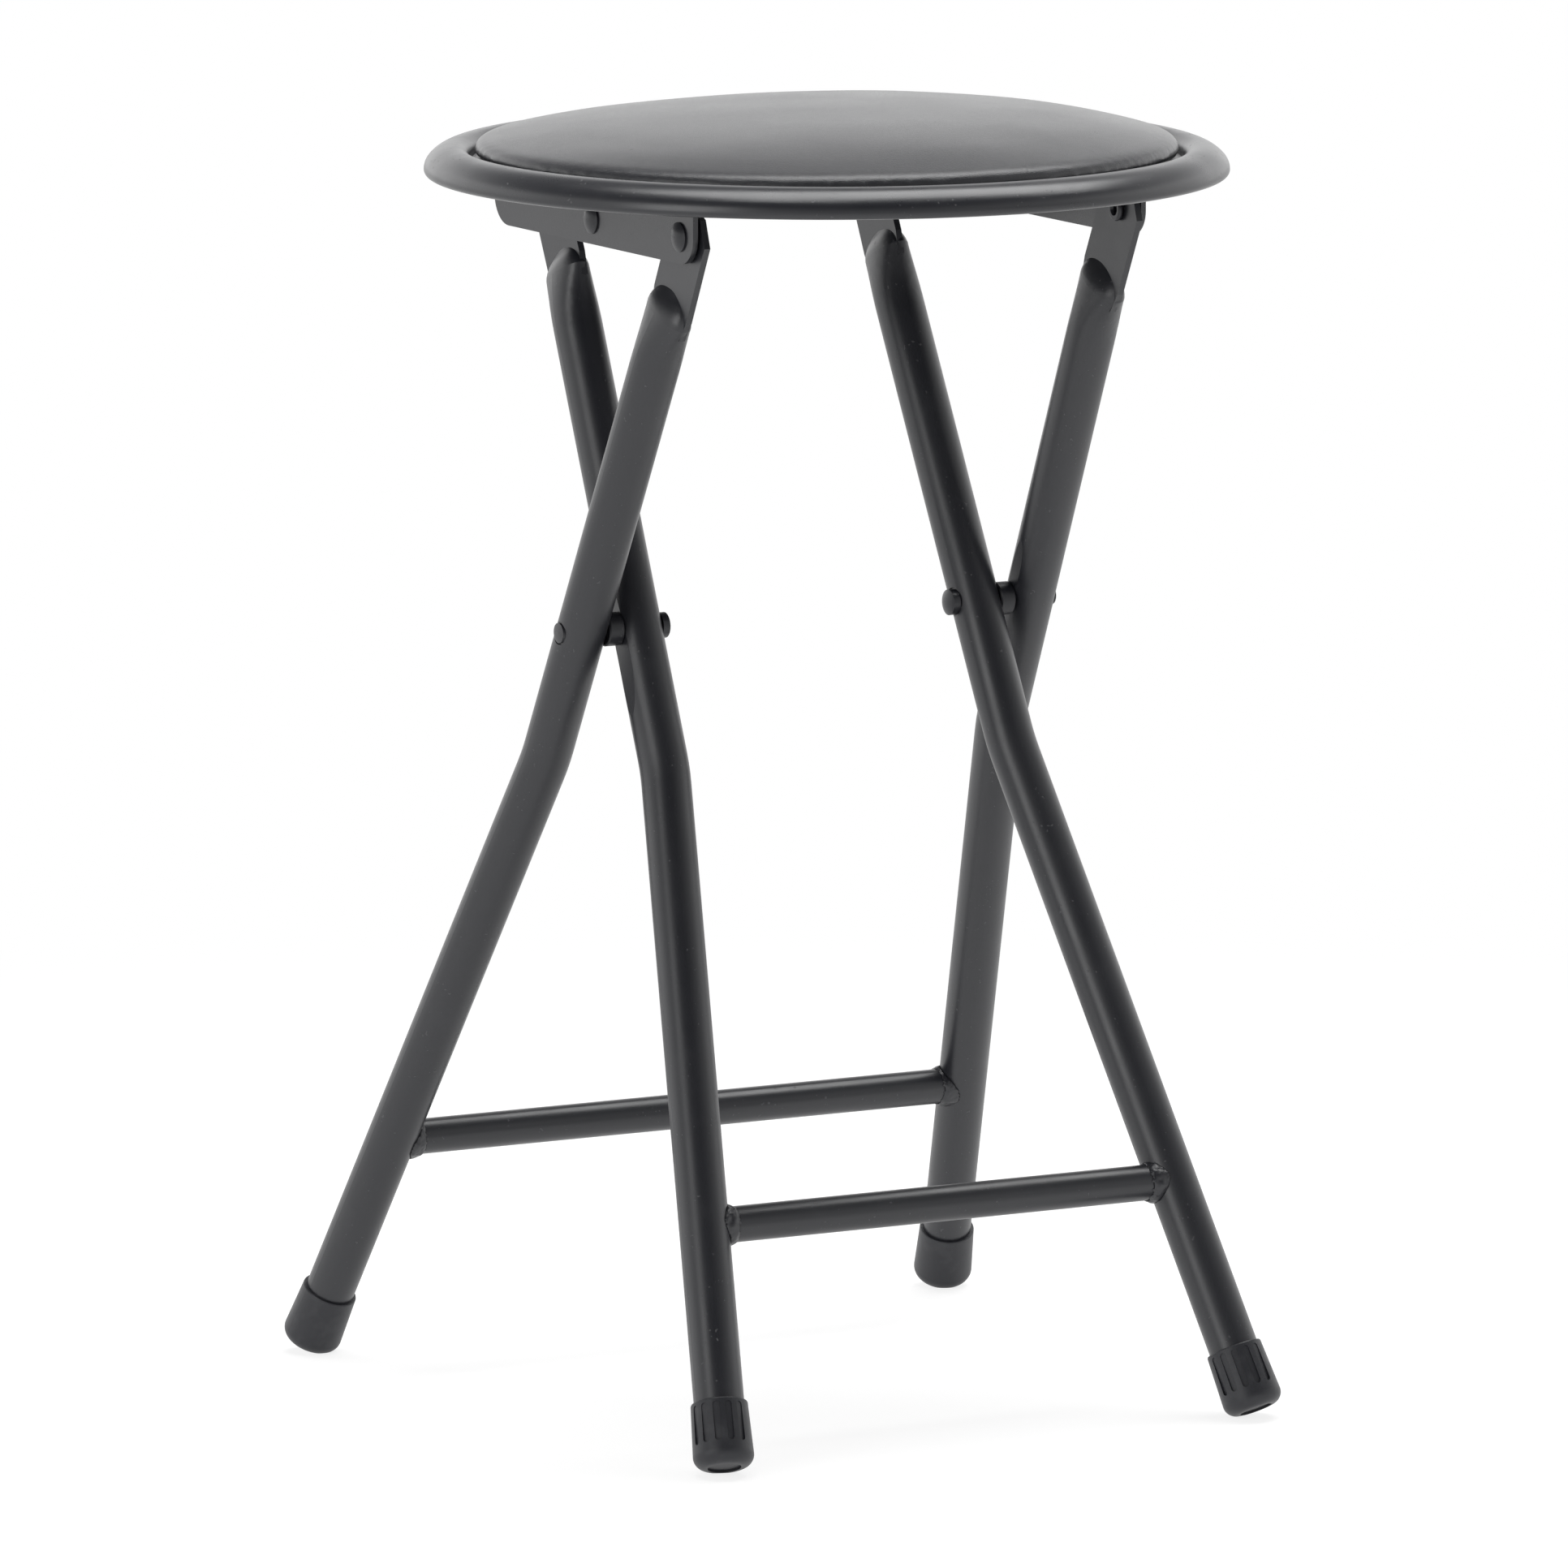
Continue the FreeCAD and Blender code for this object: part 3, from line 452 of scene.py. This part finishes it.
class Paintbox:
    """Makes each finish once and puts it on pieces."""

    def __init__(self) -> None:
        """Make every finish."""
        self.made = {surface: surface.finish.build() for surface in Surface}
        self.by_slot = {surface.slot: surface for surface in Surface}

    def paint(self, piece: bpy.types.Object, surface: Surface) -> None:
        """Give a piece one finish.

        Args:
            piece: The object to paint.
            surface: Its finish.
        """
        piece.data.materials.clear()
        piece.data.materials.append(self.made[surface])
        log.info("%s: %s", piece.name, surface.finish.name)

    def paint_nodes(self) -> None:
        """Give every CAD node the finish of its slot."""
        for entry in frame["record"]["subparts"]:
            self.paint(frame["nodes"][entry["node"]], self.by_slot[entry["material_slot"]])


def add_object(name: str, data: bpy.types.ID) -> bpy.types.Object:
    """Put a new object in the scene.

    Args:
        name: Its name.
        data: Its mesh, lamp or camera.

    Returns:
        The object.
    """
    made = bpy.data.objects.new(name, data)
    bpy.context.scene.collection.objects.link(made)
    return made


def to_mesh(made: bmesh.types.BMesh, name: str) -> bpy.types.Mesh:
    """Turn a finished bmesh into a mesh.

    Args:
        made: The bmesh, which is freed.
        name: The mesh's name.

    Returns:
        The mesh.
    """
    mesh = bpy.data.meshes.new(name)
    made.to_mesh(mesh)
    made.free()
    return mesh


def shade_smooth(mesh: bpy.types.Mesh) -> None:
    """Shade every face of a mesh smoothly."""
    for face in mesh.polygons:
        face.use_smooth = True


def bake(piece: bpy.types.Object) -> None:
    """Apply every modifier of a piece to its mesh.

    Args:
        piece: The piece to finish.
    """
    graph = bpy.context.evaluated_depsgraph_get()
    mesh = bpy.data.meshes.new_from_object(piece.evaluated_get(graph))
    mesh.name = piece.name
    piece.modifiers.clear()
    piece.vertex_groups.clear()
    piece.data = mesh


class SeatRound:
    """A round piece of the seat, spun about its middle in the place of a CAD piece."""

    def take_place(self, low: Vector, high: Vector) -> None:
        """Take over the CAD piece's place and size.

        Args:
            low: Lower corner of its box.
            high: Upper corner of its box.
        """
        self.centre = (low + high) / 2
        self.bottom = low.z
        self.top = high.z
        self.radius = (high.x - low.x) / 2

    def spin(self, points: list[Vector], closed: bool, steps: int, merge: float,
             name: str) -> bpy.types.Object:
        """Spin an outline into a solid about the middle of the seat.

        Args:
            points: The outline, with its distance from the axis as X.
            closed: Whether its last point joins its first.
            steps: Steps in a full turn.
            merge: Distance within which points become one.
            name: Name of the new piece.

        Returns:
            The piece.
        """
        made = bmesh.new()
        verts = [made.verts.new(point) for point in points]
        following = verts[1:] + (verts[:1] if closed else [])
        edges = [made.edges.new(pair) for pair in zip(verts, following)]
        bmesh.ops.spin(
            made, geom=verts + edges, cent=(0, 0, 0), axis=(0, 0, 1), dvec=(0, 0, 0),
            angle=math.tau, steps=steps, use_merge=True, use_duplicate=False)
        bmesh.ops.remove_doubles(made, verts=made.verts, dist=merge)
        bmesh.ops.recalc_face_normals(made, faces=made.faces)
        bmesh.ops.translate(made, verts=made.verts, vec=(self.centre.x, self.centre.y, 0))
        return add_object(name, to_mesh(made, name))


@dataclass
class Cushion(SeatRound):
    """The padded seat: a crowned cover over foam, swelled by a short cloth simulation.

    Heights count from the top or the base of the CAD cover, and angles of the rolled
    edge, in degrees, from outward to upward.
    """

    edge_radius: float = 5.0 * MM
    edge_below_top: float = 14.7 * MM
    draw_in: float = 4.0 * MM
    hem_slant: float = 1.5 * MM
    hem_rise: float = 1.0 * MM
    roll_start: int = -20
    roll_end: int = 76
    roll_step: int = 8
    crown_steps: int = 29
    crown_round: float = 0.15
    crown_power: float = 3.6
    steps: int = 96
    merge: float = 0.02 * MM
    voxel: float = 2.6 * MM
    held_height: float = 0.3
    held_reach: float = 0.90
    held_fade: float = 0.07
    facing_up: float = 0.2
    start_shrink: float = 0.8 * MM
    pressure: float = 4.0
    quality: int = 6
    frames: int = 20
    cap: float = 3.0 * MM
    tilt: float = 1.0 * MM
    tilt_reach: float = 70.0 * MM
    tilt_rise: float = 1.4
    unevenness: float = 0.35 * MM
    lumps_per_metre: float = 22.0

    def __post_init__(self) -> None:
        """Take the place of the CAD cover."""
        self.take_place(*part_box("pad_cover"))

    def outline(self) -> list[Vector]:
        """Return the half outline of the pad, from the middle of its base to its crown."""
        edge_z = self.top - self.edge_below_top
        centre_r = self.radius - self.edge_radius
        side_r = self.radius - self.draw_in
        points = [
            Vector((0, 0, self.bottom)),
            Vector((side_r - self.hem_slant, 0, self.bottom)),
            Vector((side_r, 0, self.bottom + self.hem_rise))]
        for degrees in range(self.roll_start, self.roll_end + 1, self.roll_step):
            turn = math.radians(degrees)
            out, up = self.edge_radius * math.cos(turn), self.edge_radius * math.sin(turn)
            points.append(Vector((centre_r + out, 0, edge_z + up)))
        start = points[-1]
        for step in range(1, self.crown_steps + 1):
            r = start.x * (1 - step / self.crown_steps)
            points.append(Vector((r, 0, self.crown(start, r))))
        return points

    def crown(self, start: Vector, r: float) -> float:
        """Height of the crown at a distance from the middle.

        Args:
            start: Where the crown meets the rolled edge.
            r: Distance from the middle.

        Returns:
            The height.
        """
        share = r / start.x
        flat = 1 - self.crown_round
        fall = self.crown_round * share ** 2 + flat * share ** self.crown_power
        return self.top - (self.top - start.z) * fall

    def remesh(self, piece: bpy.types.Object) -> None:
        """Give the solid even faces that cloth can swell, lying on its own surface.

        Args:
            piece: The spun pad.
        """
        graph = bpy.context.evaluated_depsgraph_get()
        surface = BVHTree.FromObject(piece, graph)
        remesher = piece.modifiers.new("even_faces", "REMESH")
        remesher.mode = "VOXEL"
        remesher.voxel_size = self.voxel
        bake(piece)
        for vertex in piece.data.vertices:
            nearest = surface.find_nearest(vertex.co)[0]
            if nearest is not None:
                vertex.co = nearest

    def hold(self, point: Vector) -> float:
        """How firmly the simulation holds a point: fully at the base, not at all on the crown.

        Args:
            point: The point.

        Returns:
            The hold, from 0 to 1.
        """
        height = (point.z - self.bottom) / (self.top - self.bottom)
        if height < self.held_height:
            return 1.0
        reach = math.hypot(point.x - self.centre.x, point.y - self.centre.y) / self.radius
        return max(0.0, min(1.0, (reach - self.held_reach) / self.held_fade))

    def swell(self, piece: bpy.types.Object) -> None:
        """Inflate the cover a little over its foam.

        Args:
            piece: The remeshed pad.
        """
        rest = [vertex.co.copy() for vertex in piece.data.vertices]
        group = piece.vertex_groups.new(name="held")
        for vertex in piece.data.vertices:
            group.add([vertex.index], self.hold(vertex.co), "REPLACE")
            if vertex.normal.z > self.facing_up:
                vertex.co.z -= self.start_shrink
        cloth = piece.modifiers.new("cover", "CLOTH")
        cloth.settings.quality = self.quality
        cloth.settings.use_pressure = True
        cloth.settings.uniform_pressure_force = self.pressure
        cloth.settings.vertex_group_mass = "held"
        cloth.settings.effector_weights.gravity = 0.0
        cloth.collision_settings.use_collision = False
        cloth.point_cache.frame_start = 1
        cloth.point_cache.frame_end = self.frames
        for step in range(1, self.frames + 1):
            bpy.context.scene.frame_set(step)
        bake(piece)
        bpy.context.scene.frame_set(1)
        for vertex, start in zip(piece.data.vertices, rest):
            move = vertex.co - start
            if move.length > self.cap:
                vertex.co = start + move.normalized() * self.cap

    def settle(self, piece: bpy.types.Object) -> None:
        """Give the pad the slightly lopsided and uneven fill of the real one.

        Args:
            piece: The swelled pad.
        """
        across = Vector((LOOK_Y, -LOOK_X, 0.0))
        for vertex in piece.data.vertices:
            out = Vector((vertex.co.x - self.centre.x, vertex.co.y - self.centre.y, 0))
            height = max(0.0, (vertex.co.z - self.bottom) / (self.top - self.bottom))
            share = min(1.0, height * self.tilt_rise) ** 2
            lean = math.tanh(out.dot(across) / self.tilt_reach)
            drift = noise.noise(vertex.co * self.lumps_per_metre)
            vertex.co.z += share * (self.tilt * lean + self.unevenness * drift)

    def build(self) -> bpy.types.Object:
        """Make the finished pad.

        Returns:
            The pad, riding on the seat in place of its CAD cover and foam.
        """
        piece = self.spin(self.outline(), False, self.steps, self.merge, "padded_cover")
        self.remesh(piece)
        self.swell(piece)
        self.settle(piece)
        finer = piece.modifiers.new("finer", "SUBSURF")
        finer.levels = finer.render_levels = 1
        bake(piece)
        shade_smooth(piece.data)
        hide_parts("pad_cover", "pad_foam")
        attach(piece, "seat")
        return piece


@dataclass
class Rim(SeatRound):
    """The rolled steel rim, with the CAD model's section, spun finely for an even highlight."""

    sheet: float = 1.0 * MM
    width: float = 17.0 * MM
    outer_radius: float = 6.5 * MM
    inner_radius: float = 6.0 * MM
    hem: float = 5.0 * MM
    hem_radius: float = 2.0 * MM
    wall_foot: float = 4.2 * MM
    arc_points: int = 12
    steps: int = 256
    merge: float = 0.01 * MM
    sharp: float = 35.0

    def __post_init__(self) -> None:
        """Take the place of the CAD rim."""
        self.take_place(*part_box("seat_rim"))

    def arc(self, centre: Pair, radius: float, start: float, end: float) -> list[Vector]:
        """Points of an arc in the section.

        Args:
            centre: Its centre, as distance from the axis and height.
            radius: Its radius.
            start: First angle in degrees, counted from outward to upward.
            end: Last angle.

        Returns:
            The points, from the first angle to the last.
        """
        points = []
        for index in range(self.arc_points):
            turn = math.radians(start + (end - start) * index / (self.arc_points - 1))
            out, up = radius * math.cos(turn), radius * math.sin(turn)
            points.append(Vector((centre[0] + out, 0, centre[1] + up)))
        return points

    def face(self, inset: float) -> list[Vector]:
        """Points of one side of the sheet, from the hem over the crest to the inner wall.

        Args:
            inset: Depth below the outside of the rim.

        Returns:
            The points in order.
        """
        crest = (self.radius - self.width + self.inner_radius, self.top)
        hem = (self.radius - self.hem_radius, self.bottom + self.hem_radius)
        side = (self.radius - self.outer_radius, hem[1])
        inner = (crest[0], crest[1] - self.inner_radius)
        rise, out = crest[1] - side[1], side[0] - crest[0]
        reach = out ** 2 + rise ** 2 - self.outer_radius ** 2
        top_radius = reach / (2 * (rise - self.outer_radius))
        top = (crest[0], crest[1] - top_radius)
        meet = math.degrees(math.atan2(side[1] - top[1], side[0] - top[0]))
        return [
            *self.arc(hem, self.hem_radius - inset, -90, 0),
            *self.arc(side, self.outer_radius - inset, 0, meet),
            *self.arc(top, top_radius - inset, meet, 90),
            *self.arc(inner, self.inner_radius - inset, 90, 180)]

    def outline(self) -> list[Vector]:
        """Return the closed outline of the section."""
        hem_end = self.radius - self.hem_radius - self.hem
        wall = self.radius - self.width
        foot = self.bottom + self.wall_foot
        return [
            Vector((hem_end, 0, self.bottom)),
            *self.face(0.0),
            Vector((wall, 0, foot)),
            Vector((wall + self.sheet, 0, foot)),
            *reversed(self.face(self.sheet)),
            Vector((hem_end, 0, self.bottom + self.sheet))]

    def build(self) -> bpy.types.Object:
        """Spin the section about the middle of the seat.

        Returns:
            The rim, riding on the seat in place of its CAD piece.
        """
        piece = self.spin(self.outline(), True, self.steps, self.merge, "rolled_rim")
        shade_smooth(piece.data)
        piece.data.set_sharp_from_angle(angle=math.radians(self.sharp))
        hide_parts("seat_rim")
        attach(piece, "seat")
        return piece


@dataclass(frozen=True)
class Welds:
    """The beads at the crossbars' ends, made lumpy by their modifiers."""

    beads: tuple[str, ...] = ("outer_welds", "inner_welds")
    voxel: float = 0.4 * MM
    lump: float = 2.4 * MM
    rise: float = 0.7 * MM
    level: float = 0.45

    def build(self) -> None:
        """Add even faces and lumps to both pairs of beads."""
        texture = bpy.data.textures.new("weld_lumps", "CLOUDS")
        texture.noise_scale = self.lump
        texture.noise_depth = 1
        for name in self.beads:
            bead = frame["nodes"][name]
            remesher = bead.modifiers.new("even_faces", "REMESH")
            remesher.mode = "VOXEL"
            remesher.voxel_size = self.voxel
            remesher.use_smooth_shade = True
            lumps = bead.modifiers.new("lumps", "DISPLACE")
            lumps.texture = texture
            lumps.texture_coords = "LOCAL"
            lumps.strength = self.rise
            lumps.mid_level = self.level
            log.info("%s: lumps %.1f mm high", name, self.rise / MM)


@dataclass(frozen=True)
class Camera:
    """The photographer's camera: angles in degrees, its aim counted from the legs' crossing."""

    turn: float = -28.601
    height: float = 8.9948
    distance: float = 5252.5 * MM
    aim: Triple = (-11.0 * MM, -2.71 * MM, -61.33 * MM)
    lens: float = 332.65
    sensor: float = 36.0
    clip_end: float = 100.0

    def build(self) -> None:
        """Put the camera at the photograph's viewing angle."""
        crossing = next(joint for joint in frame["joints"] if joint["name"] == "frame_scissor")
        aim = Vector(crossing["pos_m"]) + Vector(self.aim)
        turn, height = math.radians(self.turn), math.radians(self.height)
        level = math.cos(height)
        back = Vector((math.sin(turn) * level, -math.cos(turn) * level, math.sin(height)))
        data = bpy.data.cameras.new("camera")
        data.sensor_width = self.sensor
        data.lens = self.lens
        data.clip_end = self.clip_end
        camera = add_object("camera", data)
        camera.location = aim + back * self.distance
        camera.rotation_euler = (-back).to_track_quat("-Z", "Y").to_euler()
        bpy.context.scene.camera = camera


@dataclass(frozen=True)
class Surroundings:
    """White surroundings near the horizon, darker overhead and in front of the stool.

    Levels are strengths, with white as 1. Each span says from where to where, as a share
    of a direction, a level sets in.
    """

    everywhere: float = 0.09
    horizon: float = 0.42
    horizon_behind: float = 0.58
    horizon_far_behind: float = 0.3
    horizon_left: float = 0.25
    upper_left: float = 0.18
    upper_right: float = 0.36
    upper_behind: float = 0.12
    behind: Span = (-0.5, 0.3)
    far_behind: Span = (0.5, 0.9)
    left: Span = (0.1, 0.7)
    right: Span = (0.3, 0.9)
    back: Span = (0.0, 0.8)
    above_horizon: Span = (0.22, 0.60)
    upper_start: Span = (0.1, 0.4)
    upper_end: Span = (0.55, 0.9)

    def level(self, x: Wire, y: Wire, z: Wire) -> Wire:
        """Return how strongly the surroundings shine from a direction.

        Args:
            x: The direction's share of X.
            y: Its share of Y.
            z: Its share of Z.

        Returns:
            The level.
        """
        behind = x * LOOK_X + y * LOOK_Y
        left = y * LOOK_X - x * LOOK_Y
        right = x * LOOK_Y - y * LOOK_X
        side = left.smooth(*self.left)
        ring = (self.horizon + behind.smooth(*self.behind) * self.horizon_behind
                + side * self.horizon_left
                + behind.smooth(*self.far_behind) * self.horizon_far_behind)
        sides = (side * self.upper_left + right.smooth(*self.right) * self.upper_right
                 + behind.smooth(*self.back) * self.upper_behind)
        low = 1.0 - z.smooth(*self.above_horizon)
        upper = z.smooth(*self.upper_start) * (1.0 - z.smooth(*self.upper_end))
        return low * ring + sides * upper + self.everywhere

    def build(self) -> None:
        """Light the world, and show it as white to the camera."""
        world = bpy.data.worlds.new("surroundings")
        bpy.context.scene.world = world
        world.use_nodes = True
        world.node_tree.nodes.clear()
        nodes = Nodes(world.node_tree)
        direction = nodes.wire(nodes.add("TexCoord"), "Generated")
        split = nodes.add("SeparateXYZ", inputs={"Vector": direction})
        level = self.level(*(nodes.wire(split, axis) for axis in "XYZ"))
        seen = nodes.wire(nodes.add("LightPath"), "Is Camera Ray")
        strength = level * (1.0 - seen) + seen
        background = nodes.add("Background", inputs={"Color": (1, 1, 1, 1), "Strength": strength})
        nodes.add("OutputWorld", inputs={"Surface": nodes.wire(background, "Background")})


@dataclass(frozen=True)
class Softbox:
    """A rectangular lamp: where it hangs, the point it faces, its size and its watts."""

    name: str
    place: Triple
    aim: Triple
    size: Pair
    power: float

    def build(self) -> None:
        """Hang the lamp."""
        data = bpy.data.lights.new(self.name, "AREA")
        data.shape = "RECTANGLE"
        data.size, data.size_y = self.size
        data.energy = self.power
        lamp = add_object(self.name, data)
        lamp.location = self.place
        facing = Vector(self.aim) - Vector(self.place)
        lamp.rotation_euler = facing.to_track_quat("-Z", "Y").to_euler()


@dataclass(frozen=True)
class Floor:
    """A pale floor that shows as white and keeps the stool's shadow."""

    reach: float = 14.0
    drop: float = 0.2 * MM
    roughness: float = 0.9
    seen_glow: float = 0.80
    seen_tone: float = 0.34
    lit_tone: float = 0.86
    white_from: Span = (0.35, 1.0)

    def material(self) -> bpy.types.Material:
        """Make the floor's material: pale near the stool and plain white further out.

        Returns:
            The material.
        """
        material = bpy.data.materials.new("pale_floor")
        material.use_nodes = True
        nodes = Pattern(material.node_tree)
        path = nodes.add("LightPath")
        camera, glossy, through = (
            nodes.wire(path, f"Is {ray} Ray") for ray in ("Camera", "Glossy", "Transmission"))
        seen = (camera + glossy + through).clamped()
        distance = nodes.add("VectorMath", {"operation": "LENGTH"}, {0: nodes.place})
        far = nodes.wire(distance, "Value").smooth(*self.white_from)
        near = material.node_tree.nodes["Principled BSDF"]
        nodes.feed(near, {
            "Base Color": nodes.mix(seen, (self.lit_tone,) * 3, (self.seen_tone,) * 3),
            "Roughness": self.roughness,
            "Specular IOR Level": 0.0,
            "Emission Color": seen * self.seen_glow,
            "Emission Strength": 1.0})
        white = nodes.add("Emission")
        shaders = {1: nodes.wire(near, "BSDF"), 2: nodes.wire(white, "Emission")}
        blend = nodes.add("MixShader", inputs={"Fac": far * seen, **shaders})
        output = material.node_tree.nodes["Material Output"]
        nodes.feed(output, {"Surface": nodes.wire(blend, "Shader")})
        return material

    def build(self) -> None:
        """Lay the floor a hair below the feet."""
        made = bmesh.new()
        bmesh.ops.create_grid(made, x_segments=1, y_segments=1, size=self.reach)
        bmesh.ops.translate(made, verts=made.verts, vec=(0, 0, -self.drop))
        floor = add_object("floor", to_mesh(made, "floor"))
        floor.data.materials.append(self.material())


@dataclass(frozen=True)
class Studio:
    """The camera, white surroundings, one lamp overhead, a weak one on the left, and the floor."""

    camera: Camera = Camera()
    surroundings: Surroundings = Surroundings()
    softboxes: tuple[Softbox, ...] = (
        Softbox("overhead_softbox", (0.45, 0.2, 2.0), (0.45, 0.2, 0.0), (2.0, 1.1), 34.0),
        Softbox("left_softbox", (-2.6, -0.9, 1.1), (0.0, 0.0, 0.35), (1.2, 1.6), 14.0))
    floor: Floor = Floor()

    def build(self) -> None:
        """Build the whole studio."""
        for item in (self.camera, self.surroundings, *self.softboxes, self.floor):
            item.build()
            log.info("studio: %s", type(item).__name__.lower())
        bpy.context.scene.view_settings.view_transform = "Standard"


def main() -> None:
    """Dress the stool and build the studio round it."""
    logging.basicConfig(level=logging.INFO)
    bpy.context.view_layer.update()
    paintbox = Paintbox()
    paintbox.paint_nodes()
    paintbox.paint(Cushion().build(), Surface.COVER)
    paintbox.paint(Rim().build(), Surface.SEAT)
    Welds().build()
    Studio().build()


if __name__ == "__main__":
    main()
